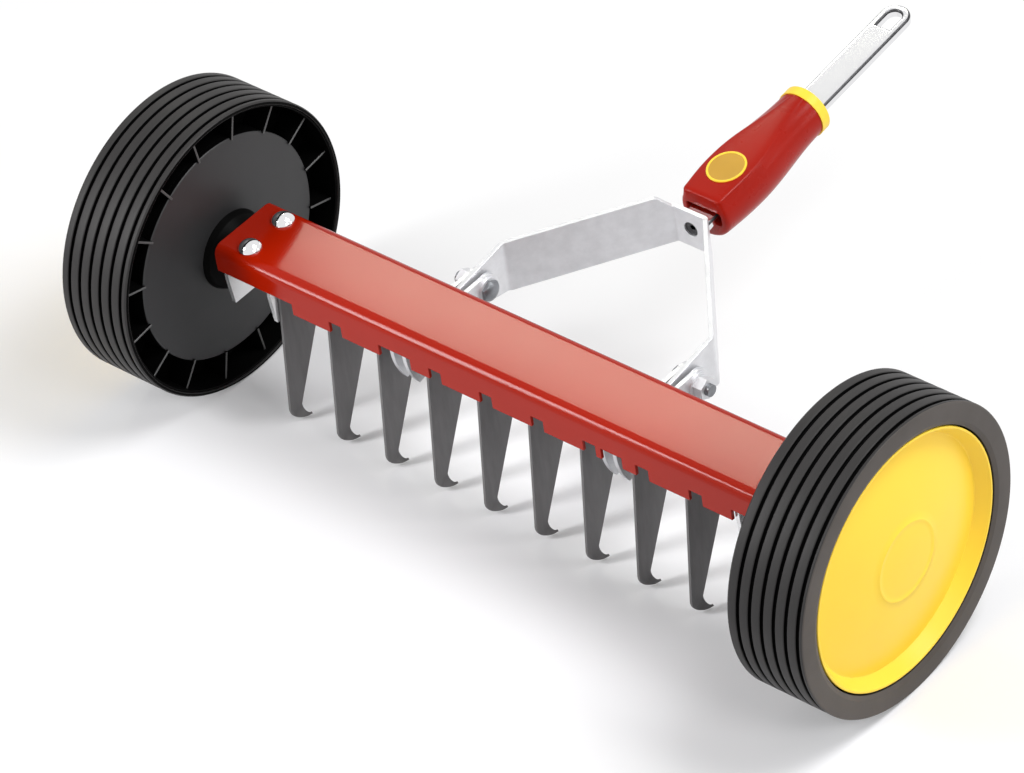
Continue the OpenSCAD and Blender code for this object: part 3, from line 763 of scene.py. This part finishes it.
def bow(start, pull, end, steps):
    """Points of a curve that a third point pulls."""
    points = []
    for k in range(steps + 1):
        t = k / steps
        weights = ((1 - t) ** 2, 2 * t * (1 - t), t ** 2)
        ends = (start, pull, end)
        points.append(tuple(sum(w * q[axis] for w, q in zip(weights, ends)) for axis in (0, 1)))
    return points


def blade_outline():
    """Y and Z of the flat blade, anticlockwise from its rear top corner."""
    shoulder = axle_h - SHOULDER_DROP
    point = heel.x + HOOK_LEN
    outline = [(blade_rear, bar_top - BAR_T), (blade_front, bar_top - BAR_T), (blade_front, shoulder)]
    outline += arc(heel, HEEL_R, 180, 270, HEEL_STEPS) + [(point, BLANK_GAP)]
    tip = BLANK_GAP + HOOK_TIP
    outline += bow((point, tip), (hook_root.x, tip), hook_root, HOOK_STEPS)
    return outline + [(blade_rear, shoulder)]


def folded(aside, flat):
    """Where the fold takes a point: from its distance beside the blade's middle face, and its Y and Z."""
    past = (flat - fold_start).dot(fold_down)
    if past <= 0:
        return aside, flat
    angle = min(past / FOLD_R, FOLD_TURN)
    straight = past - angle * FOLD_R
    c, s = math.cos(angle), math.sin(angle)
    return (FOLD_R * (1 - c) + straight * s + aside * c,
            flat + fold_down * (FOLD_R * s + straight * c - aside * s - past))


def blade_mesh(x):
    """A blade whose middle face lies at x: a flat plate, cut along the fold's lines and then folded."""
    to_world = Matrix(((0, 0, 1, 0), (1, 0, 0, 0), (0, 1, 0, 0), (0, 0, 0, 1)))
    mesh = plate("blade", [blade_outline()], BLADE_T, BLADE_EDGE, to_world)
    for k in range(FOLD_STEPS + 1):
        cut = fold_start + fold_down * FOLD_R * FOLD_TURN * k / FOLD_STEPS
        bmesh.ops.bisect_plane(mesh, geom=mesh.verts[:] + mesh.edges[:] + mesh.faces[:], dist=1e-7,
                               plane_co=(0, cut.x * MM, cut.y * MM), plane_no=(0, fold_down.x, fold_down.y))
    for vertex in mesh.verts:
        aside, flat = folded(vertex.co.x / MM, Vector((vertex.co.y, vertex.co.z)) / MM)
        vertex.co = Vector((x + aside, flat.x, flat.y)) * MM
    return mesh


for blade, x in zip(blades, blade_xs):
    flat_faced(finished("hooked_" + blade.name, blade_mesh(x), "rake_bar", blade_steel.material,
                        [blade.name], weld=WELD))


# Rivets with domed heads above the bar and flat tails below the brackets

RIVET_R = 7.75
RIVET_H = 5.4
RIVET_EDGE = 0.6
SHANK_R = 3.0
TAIL_R = 4.5
TAIL_H = 2.0
TAIL_TAPER = 0.5
DOME_ARC_STEPS = 12
BRACKET_T = 3.0
rivet_x = rivet_high.x / MM - RIVET_R
rivet_y = rivet_high.y / MM - RIVET_R


def rivet_profile():
    """From the middle of the dome down to the middle of the tail."""
    rise = RIVET_H - RIVET_EDGE
    sphere = (RIVET_R ** 2 + rise ** 2) / (2 * rise)
    limit = math.degrees(math.asin(RIVET_R / sphere))
    dome = arc((RIVET_H - sphere, 0), sphere, 0, limit, DOME_ARC_STEPS)[1:]
    seat = -BAR_T - BRACKET_T
    return [(RIVET_H, 0)] + dome + [(0, RIVET_R), (0, SHANK_R), (seat, SHANK_R), (seat, TAIL_R),
                                    (seat - TAIL_H, TAIL_R - TAIL_TAPER), (seat - TAIL_H, 0)]


rivets = bmesh.new()
for x in (-rivet_x, rivet_x):
    for y in (-rivet_y, rivet_y):
        turned(rivets, rivet_profile(),
               lambda depth, u, v, x=x, y=y: (x * MM + u, y * MM + v, bar_high.z + depth), ROUND_STEPS)
finished("domed_rivets", rivets, "rake_bar", bright_rivet.material, ["bracket_rivets"])


# The yoke, one strip folded on edge

YOKE_EDGE = 0.4
YOKE_BEND_R = 6.0
WEB_BEND_R = 4.2
BEND_BACK = 82.0
WEB_HALF = 12.5
WEB_HOLE_R = 5.25
FOOT_R = 15.0
FOOT_TOP_GAP = 0.3
HEEL_H = 6.0
BEND_TOP = 15.7
LEG_TOP = 27.2
LEG_TOP_BACK = 8.5
WEB_TOP = 18.5
BEND_BOTTOM = 22.5
WEB_BOTTOM = 9.5
BEND_EASE = 2.0
SAMPLE = 2.0
pivot = next(j for j in frame["joints"] if j["name"] == "yoke_swing")["pos_m"]
pivot_y = pivot[1] / MM
pivot_z = pivot[2] / MM
web_y = yoke_high.y / MM - YOKE_T / 2
foot_start = yoke_low.y / MM
web_front = web_y - YOKE_T / 2
web_rear = web_y + YOKE_T / 2
foot_top = nick_top - FOOT_TOP_GAP
upper = [(foot_start, foot_top), (bar_y + BEND_EASE, foot_top), (BEND_BACK - BEND_EASE, axle_h + BEND_TOP),
         (web_y - LEG_TOP_BACK, axle_h + LEG_TOP), (web_front, axle_h + WEB_TOP), (web_rear, axle_h + WEB_TOP)]
lower = [(foot_start, foot_top - HEEL_H)] + arc((pivot_y, pivot_z), FOOT_R, 220, 270, 8)
lower += [(BEND_BACK + BEND_EASE, axle_h - BEND_BOTTOM), (web_rear, axle_h - WEB_BOTTOM)]


def yoke_strip():
    """The strip's middle face: its plan runs from foot to foot, and its two edges give the heights."""
    half = [(foot_x, foot_start, 0), (foot_x, BEND_BACK, YOKE_BEND_R), (WEB_HALF, web_y, WEB_BEND_R)]
    plan = rounded(half + [(-x, y, radius) for x, y, radius in reversed(half)], closed=False, steps=8)
    path = []
    for (x0, y0), (x1, y1) in zip(plan, plan[1:]):
        pieces = max(1, round(math.hypot(x1 - x0, y1 - y0) / SAMPLE))
        path += [(x0 + (x1 - x0) * k / pieces, y0 + (y1 - y0) * k / pieces) for k in range(pieces)]
    path.append(plan[-1])
    mesh = bmesh.new()
    rows = []
    for x, y in path:
        rows.append([mesh.verts.new((x * MM, y * MM, chain(edge, y) * MM)) for edge in (lower, upper)])
    for first, second in zip(rows, rows[1:]):
        mesh.faces.new((first[0], second[0], second[1], first[1]))
    return mesh


folded_yoke = finished("folded_yoke", yoke_strip(), "handle_yoke", zinc_steel.material, ["yoke"])
thick(folded_yoke, YOKE_T, 0)
TANG_T = 7.0
tang_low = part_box("tang")[0]
DRILL_HALF = 6.0
hole_z = tang_low.z + TANG_T / 2 * MM


def web_place(depth, u, v):
    """Maps depth from the web's middle and two cross directions, about the middle of its hole."""
    return (u, web_y * MM + depth, hole_z + v)


drill = bmesh.new()
turned(drill, [(-DRILL_HALF, 0), (-DRILL_HALF, WEB_HOLE_R), (DRILL_HALF, WEB_HOLE_R), (DRILL_HALF, 0)],
       web_place, ROUND_STEPS)
bmesh.ops.recalc_face_normals(drill, faces=drill.faces)
drill_data = bpy.data.meshes.new("web_drill")
drill.to_mesh(drill_data)
drill.free()
drill_piece = bpy.data.objects.new("web_drill", drill_data)
bpy.context.scene.collection.objects.link(drill_piece)
hole = folded_yoke.modifiers.new("web_hole", "BOOLEAN")
hole.object = drill_piece
hole.solver = "EXACT"
applied(folded_yoke)
bpy.data.objects.remove(drill_piece)
flat_faced(bevelled(folded_yoke, YOKE_EDGE))


# The tang, a flat bar with a slot

TANG_W = 21.0
TANG_EDGE = 1.8
SLOT_W = 11.0
SLOT_LEN = 17.0
SLOT_END = 5.5
TANG_FREE = mounts["handle_tang"]["dims"]["length_mm"]
COLLAR_LEN = 7.0
SOCKET_LEN = 101.0
SOCKET_GAP = 11.0
# Faces of the tang between these two slopes are its rounded upper edges, which get a dark finish: painted dark
# reflection
EDGE_SLOPES = (0.1, 0.98)
tang_back = -(COLLAR_LEN + SOCKET_LEN + SOCKET_GAP)


def tang_matrix():
    """Maps a plate's coordinates: sideways, along the tang from the collar's end, and up."""
    columns = (Vector((1, 0, 0)), tang_axis, tang_up)
    return Matrix.Translation(collar_end) @ Matrix(columns).transposed().to_4x4()


tang_half = TANG_W / 2
tang_outline = [(-tang_half, tang_back), (tang_half, tang_back)]
tang_outline += arc((0, TANG_FREE - tang_half), tang_half, 0, 180, 24)
slot_far = TANG_FREE - SLOT_END
slot_half = SLOT_W / 2
slot_outline = arc((0, slot_far - slot_half), slot_half, 180, 0, 20)
slot_outline += [(slot_half, slot_far - SLOT_LEN), (-slot_half, slot_far - SLOT_LEN)]
tang_mesh = plate("slotted_tang", [tang_outline, slot_outline], TANG_T, TANG_EDGE, tang_matrix())
slotted_tang = finished("slotted_tang", tang_mesh, "handle_yoke", chrome_steel.material,
                        ["tang"], weld=WELD)
# The rounded upper edges get a painted dark reflection
edged(slotted_tang, painted_dark_steel.material, lambda face: EDGE_SLOPES[0] < face.normal.dot(tang_up) < EDGE_SLOPES[1])
flat_faced(slotted_tang)

# A drilled spigot end shows in the hole of the web, coloured dark: painted shade in the hole
SPIGOT_STEPS = 40
SPIGOT_R = WEB_HOLE_R - 0.05
SPIGOT_FACE = -0.2
SPIGOT_DIP = 1.4
SPIGOT_DIP_R = 3.4
spigot = bmesh.new()
turned(spigot, [(SPIGOT_DIP, 0), (SPIGOT_FACE, SPIGOT_DIP_R), (SPIGOT_FACE, SPIGOT_R), (SPIGOT_DIP, SPIGOT_R)],
       web_place, SPIGOT_STEPS)
finished("drilled_spigot", spigot, "handle_yoke", painted_dark_steel.material)


# The socket, lofted along the tang, with a raised pad on top

SOCKET_STEPS = 48
RING_HALF = 26
SOCKET_LOW_R = 18.5
SOCKET_MID_R = 21.0
SOCKET_TOP_R = 16.75
SOCKET_MID = 38.0
PAD_LIFT = [(0, 15.6), (20, 16.8), (60, 16.9), (101, 16.2)]
PAD_HALF = [(0, 14.2), (12, 15.6), (30, 16.4), (48, 15.2), (68, 10.6), (85, 6.6), (101, 4.6)]
PAD_FACET = 1.7
PAD_LEAST_STEP = 0.3
PAD_CROWN = 0.5
PAD_SHOULDER = 0.4
# The pad's border: how far inside it, and how high above its plane
PAD_BORDER = [(1.2, 0.1), (0.3, -0.15), (-0.25, -0.7)]
PAD_EASE = 9.0
CHAMFER = 3.0
CHAMFER_STEPS = 3
CHAMFER_SHRINK = 0.14
MOUTH_W = 27.0
MOUTH_T = 11.0
MOUTH_DEPTH = 8.0
MOUTH_LIP = 0.6
# Below 1, a rounded rectangle: the lower, the sharper its corners
MOUTH_POWER = 0.22


def socket_r(s):
    """Radius of the socket at a distance from its lower end."""
    if s < SOCKET_MID:
        return SOCKET_LOW_R + (SOCKET_MID_R - SOCKET_LOW_R) * math.sin(math.pi / 2 * s / SOCKET_MID)
    t = (s - SOCKET_MID) / (SOCKET_LEN - SOCKET_MID)
    return SOCKET_MID_R - (SOCKET_MID_R - SOCKET_TOP_R) * (1 - math.cos(math.pi * t)) / 2


def smooth_chain(points, at):
    """A chain with eased corners: the mean of the chain around a place."""
    offsets = [PAD_EASE * k / 4 for k in range(-4, 5)]
    return sum(chain(points, min(SOCKET_LEN, max(0, at + o))) for o in offsets) / len(offsets)


def socket_ring(s):
    """Half a section from the pad's middle round to the underside, then mirrored."""
    r = socket_r(s)
    top = smooth_chain(PAD_LIFT, s)
    pad = min(smooth_chain(PAD_HALF, s), r - PAD_FACET - 2 * PAD_LEAST_STEP)
    first = math.acos((pad + PAD_FACET) / r)
    foot = r * math.sin(first)
    crown = max(top, foot + PAD_LEAST_STEP)
    half = [(0, crown + PAD_CROWN), (pad / 2, crown + PAD_SHOULDER)]
    half += [(pad - inside, crown + rise) for inside, rise in PAD_BORDER]
    count = RING_HALF - len(half)
    for k in range(count):
        angle = first + (-math.pi / 2 - first) * k / (count - 1)
        half.append((r * math.cos(angle), r * math.sin(angle)))
    return half + [(-x, h) for x, h in reversed(half[1:-1])]


def box_ring(count, width, height):
    """A rounded rectangle with as many points as a section, from its top middle clockwise."""
    points = []
    for k in range(count):
        angle = math.pi / 2 - 2 * math.pi * k / count
        c, s = math.cos(angle), math.sin(angle)
        points.append((width / 2 * math.copysign(abs(c) ** MOUTH_POWER, c),
                       height / 2 * math.copysign(abs(s) ** MOUTH_POWER, s)))
    return points


def socket_mesh():
    """Sections from the floor of the mouth out to its lip, round the lower end, and up to the collar."""
    start = tang_back + SOCKET_GAP
    mesh = bmesh.new()
    count = len(socket_ring(0))
    inside = [(MOUTH_DEPTH, 0.8), (MOUTH_DEPTH, 1.0), (MOUTH_LIP, 1.0), (0.0, 1.04)]
    sections = [(s, [(x * k, h * k) for x, h in box_ring(count, MOUTH_W, MOUTH_T)]) for s, k in inside]
    for k in range(CHAMFER_STEPS + 1):
        share = k / CHAMFER_STEPS
        s = CHAMFER * (1 - math.cos(math.pi / 2 * share))
        shrink = 1 - CHAMFER_SHRINK * (1 - math.sin(math.pi / 2 * share))
        sections.append((s, [(x * shrink, h * shrink) for x, h in socket_ring(CHAMFER)]))
    for k in range(1, SOCKET_STEPS + 1):
        s = CHAMFER + (SOCKET_LEN - CHAMFER) * k / SOCKET_STEPS
        sections.append((s, socket_ring(s)))
    rings = [[mesh.verts.new(tang_point(x, start + s, h)) for x, h in points] for s, points in sections]
    for first, second in zip(rings, rings[1:]):
        bridge(mesh, first, second)
    mesh.faces.new(rings[0])
    mesh.faces.new(rings[-1])
    return mesh


finished("moulded_socket", socket_mesh(), "handle_yoke", socket_plastic.material, ["socket"])

COLLAR_R = 17.5
COLLAR_STEPS = 96


def collar_place(depth, u, v):
    """Maps depth along the tang from the collar's end and two cross directions."""
    return collar_end + tang_axis * depth + Vector((u, 0, 0)) + tang_up * v


collar = bmesh.new()
turned(collar, [(0, 0)] + rounded([(0, COLLAR_R, 2.0), (-COLLAR_LEN, COLLAR_R, 1.6)], closed=False)
       + [(-COLLAR_LEN, 0)], collar_place, COLLAR_STEPS)
finished("round_collar", collar, "handle_yoke", cover_plastic.material, ["collar"])

# A plain oval inlay on the pad
OVAL_ALONG = 14.0
OVAL_ACROSS = 12.6
OVAL_PLACE = 27.6
OVAL_STEPS = 64
# Rings of the oval from its side over the rim to the face: share of its size, and height above the pad
OVAL_RINGS = [(1.0, -1.5), (1.0, 0.75), (0.985, 1.0), (0.955, 1.1), (0.90, 1.0), (0.885, 0.75), (0.80, 0.7),
              (0.4, 0.85)]
OVAL_MIDDLE_H = 0.9
# The face starts at this ring
OVAL_RIM = 5


def oval_mesh():
    """The oval, with its face in the second material slot."""
    middle = tang_back + SOCKET_GAP + OVAL_PLACE
    base = smooth_chain(PAD_LIFT, OVAL_PLACE)
    mesh = bmesh.new()
    rings = []
    for share, up in OVAL_RINGS:
        ring = []
        for k in range(OVAL_STEPS):
            a = 2 * math.pi * k / OVAL_STEPS
            ring.append(mesh.verts.new(tang_point(OVAL_ACROSS * share * math.cos(a),
                                                  middle + OVAL_ALONG * share * math.sin(a), base + up)))
        rings.append(ring)
    rings.append([mesh.verts.new(tang_point(0, middle, base + OVAL_MIDDLE_H))])
    for k, (first, second) in enumerate(zip(rings, rings[1:])):
        known = len(mesh.faces)
        bridge(mesh, first, second)
        mesh.faces.ensure_lookup_table()
        for face in mesh.faces[known:]:
            face.material_index = int(k >= OVAL_RIM)
    mesh.faces.new(rings[0])
    return mesh


oval_inlay = finished("oval_inlay", oval_mesh(), "handle_yoke", cover_plastic.material)
oval_inlay.data.materials.append(inlay_gold.material)


# Camera at the photograph's angle

IMAGE_W = 1024
VIEW_AZIMUTH = math.radians(46.27)
VIEW_ELEVATION = math.radians(40.58)
VIEW_ROLL = math.radians(-9.31)
VIEW_DISTANCE = 3.42946
VIEW_FOCAL_PX = 5607.5
VIEW_SHIFT = (-0.00784, 0.00536)
VIEW_HEIGHT = 0.09
SENSOR = 36.0

back = Vector((math.sin(VIEW_AZIMUTH) * math.cos(VIEW_ELEVATION),
               -math.cos(VIEW_AZIMUTH) * math.cos(VIEW_ELEVATION), math.sin(VIEW_ELEVATION)))
level = Vector((math.cos(VIEW_AZIMUTH), math.sin(VIEW_AZIMUTH), 0))
upright = back.cross(level)
right = level * math.cos(VIEW_ROLL) + upright * math.sin(VIEW_ROLL)
up = upright * math.cos(VIEW_ROLL) - level * math.sin(VIEW_ROLL)
target = right * VIEW_SHIFT[0] + up * VIEW_SHIFT[1] + Vector((0, 0, VIEW_HEIGHT))
camera = bpy.data.objects.new("camera", bpy.data.cameras.new("camera"))
bpy.context.scene.collection.objects.link(camera)
camera.data.sensor_width = SENSOR
camera.data.lens = VIEW_FOCAL_PX * SENSOR / IMAGE_W
camera.matrix_world = (Matrix.Translation(target + back * VIEW_DISTANCE)
                       @ Matrix((right, up, back)).transposed().to_4x4())
bpy.context.scene.camera = camera


# Floor, world and lamps

def worked_out(tree, operation, first, second):
    """The output of a math node on two outputs."""
    made = tree.nodes.new("ShaderNodeMath")
    made.operation = operation
    tree.links.new(first, made.inputs[0])
    tree.links.new(second, made.inputs[1])
    return made.outputs["Value"]


def seen_rays(tree):
    """1 for camera, glossy and transmission rays, else 0."""
    path = tree.nodes.new("ShaderNodeLightPath")
    total = path.outputs["Is Camera Ray"]
    for name in ("Is Glossy Ray", "Is Transmission Ray"):
        total = worked_out(tree, "MAXIMUM", total, path.outputs[name])
    return total


def smooth_step(tree, source, near, far, most):
    """Rises from 0 to a most while the source goes from near to far."""
    made = tree.nodes.new("ShaderNodeMapRange")
    made.interpolation_type = "SMOOTHSTEP"
    made.inputs["From Min"].default_value = near
    made.inputs["From Max"].default_value = far
    made.inputs["To Max"].default_value = most
    tree.links.new(source, made.inputs["Value"])
    return made.outputs["Result"]


FLOOR_SIZE = 8.0
FLOOR_COLOUR = (0.84, 0.84, 0.855)
FLOOR_GLOW = 0.10
FLOOR_NEAR = 0.7
FLOOR_FAR = 2.0
FLOOR_BEHIND = (0.04, 0.2)
FLOOR_BEHIND_FADE = 0.75

floor_mesh = bmesh.new()
bmesh.ops.create_grid(floor_mesh, x_segments=4, y_segments=4, size=FLOOR_SIZE / 2)
floor_data = bpy.data.meshes.new("floor")
floor_mesh.to_mesh(floor_data)
floor_mesh.free()
floor = bpy.data.objects.new("floor", floor_data)
bpy.context.scene.collection.objects.link(floor)
floor_look = bpy.data.materials.new("floor")
floor_look.use_nodes = True
tree = floor_look.node_tree
tree.nodes.clear()
diffuse = tree.nodes.new("ShaderNodeBsdfDiffuse")
diffuse.inputs["Color"].default_value = (*FLOOR_COLOUR, 1)
seen = seen_rays(tree)
glow = tree.nodes.new("ShaderNodeEmission")
share = tree.nodes.new("ShaderNodeMath")
share.operation = "MULTIPLY"
share.inputs[1].default_value = FLOOR_GLOW
tree.links.new(seen, share.inputs[0])
tree.links.new(share.outputs["Value"], glow.inputs["Strength"])
lit = tree.nodes.new("ShaderNodeAddShader")
tree.links.new(diffuse.outputs["BSDF"], lit.inputs[0])
tree.links.new(glow.outputs["Emission"], lit.inputs[1])

# Behind the rake, and far from it, the floor fades into the white background
place = tree.nodes.new("ShaderNodeTexCoord")
reach = tree.nodes.new("ShaderNodeVectorMath")
reach.operation = "LENGTH"
tree.links.new(place.outputs["Object"], reach.inputs[0])
axes = tree.nodes.new("ShaderNodeSeparateXYZ")
tree.links.new(place.outputs["Object"], axes.inputs["Vector"])
far_off = smooth_step(tree, reach.outputs["Value"], FLOOR_NEAR, FLOOR_FAR, 1.0)
behind = smooth_step(tree, axes.outputs["Y"], *FLOOR_BEHIND, FLOOR_BEHIND_FADE)
fade = worked_out(tree, "MAXIMUM", far_off, behind)
white = tree.nodes.new("ShaderNodeEmission")
blend = tree.nodes.new("ShaderNodeMixShader")
tree.links.new(worked_out(tree, "MULTIPLY", seen, fade), blend.inputs["Fac"])
tree.links.new(lit.outputs["Shader"], blend.inputs[1])
tree.links.new(white.outputs["Emission"], blend.inputs[2])
output = tree.nodes.new("ShaderNodeOutputMaterial")
tree.links.new(blend.outputs["Shader"], output.inputs["Surface"])
floor.data.materials.append(floor_look)

AMBIENT = 0.24
SEEN_WHITE = 1.0
world = bpy.data.worlds.new("studio")
bpy.context.scene.world = world
world.use_nodes = True
sky = world.node_tree.nodes["Background"]
sky.inputs["Color"].default_value = (1, 1, 1, 1)
level_range = world.node_tree.nodes.new("ShaderNodeMapRange")
level_range.inputs["To Min"].default_value = AMBIENT
level_range.inputs["To Max"].default_value = SEEN_WHITE
world.node_tree.links.new(seen_rays(world.node_tree), level_range.inputs["Value"])
world.node_tree.links.new(level_range.outputs["Result"], sky.inputs["Strength"])


LAMP_AIM = Vector((0, 0.1, 0.1))


def softbox(name, azimuth, elevation, distance, width, height, watts, roll=0, tint=(1, 1, 1)):
    """An area lamp that looks at the rake: azimuth 0 is +Y, 90 is +X. The angles are degrees."""
    lamp = bpy.data.lights.new(name, "AREA")
    lamp.shape = "RECTANGLE"
    lamp.size = width
    lamp.size_y = height
    lamp.energy = watts
    lamp.color = tint
    a, e = math.radians(azimuth), math.radians(elevation)
    away = Vector((math.sin(a) * math.cos(e), math.cos(a) * math.cos(e), math.sin(e)))
    holder = bpy.data.objects.new(name, lamp)
    bpy.context.scene.collection.objects.link(holder)
    holder.location = LAMP_AIM + away * distance
    turn = away.to_track_quat("Z", "Y") @ Quaternion((0, 0, 1), math.radians(roll))
    holder.rotation_euler = turn.to_euler()


softbox("key", 58, 58, 2.2, 1.0, 1.0, 34)
softbox("side_fill", 100, 34, 2.6, 0.7, 0.6, 13)
# The strip draws the highlight along the socket's flank
softbox("flank_strip", 56, 20, 2.4, 0.14, 0.7, 5)
# The front card draws the light line along the bar's front bend
softbox("front_card", -142, 28, 2.4, 0.36, 1.5, 38)
# The back card mirrors in the bar's top face and misses the tang
softbox("back_card", -45.3, 41, 6.0, 1.12, 0.36, 18, roll=-31, tint=(1, 1, 0.82))

bpy.context.scene.view_settings.view_transform = "Standard"
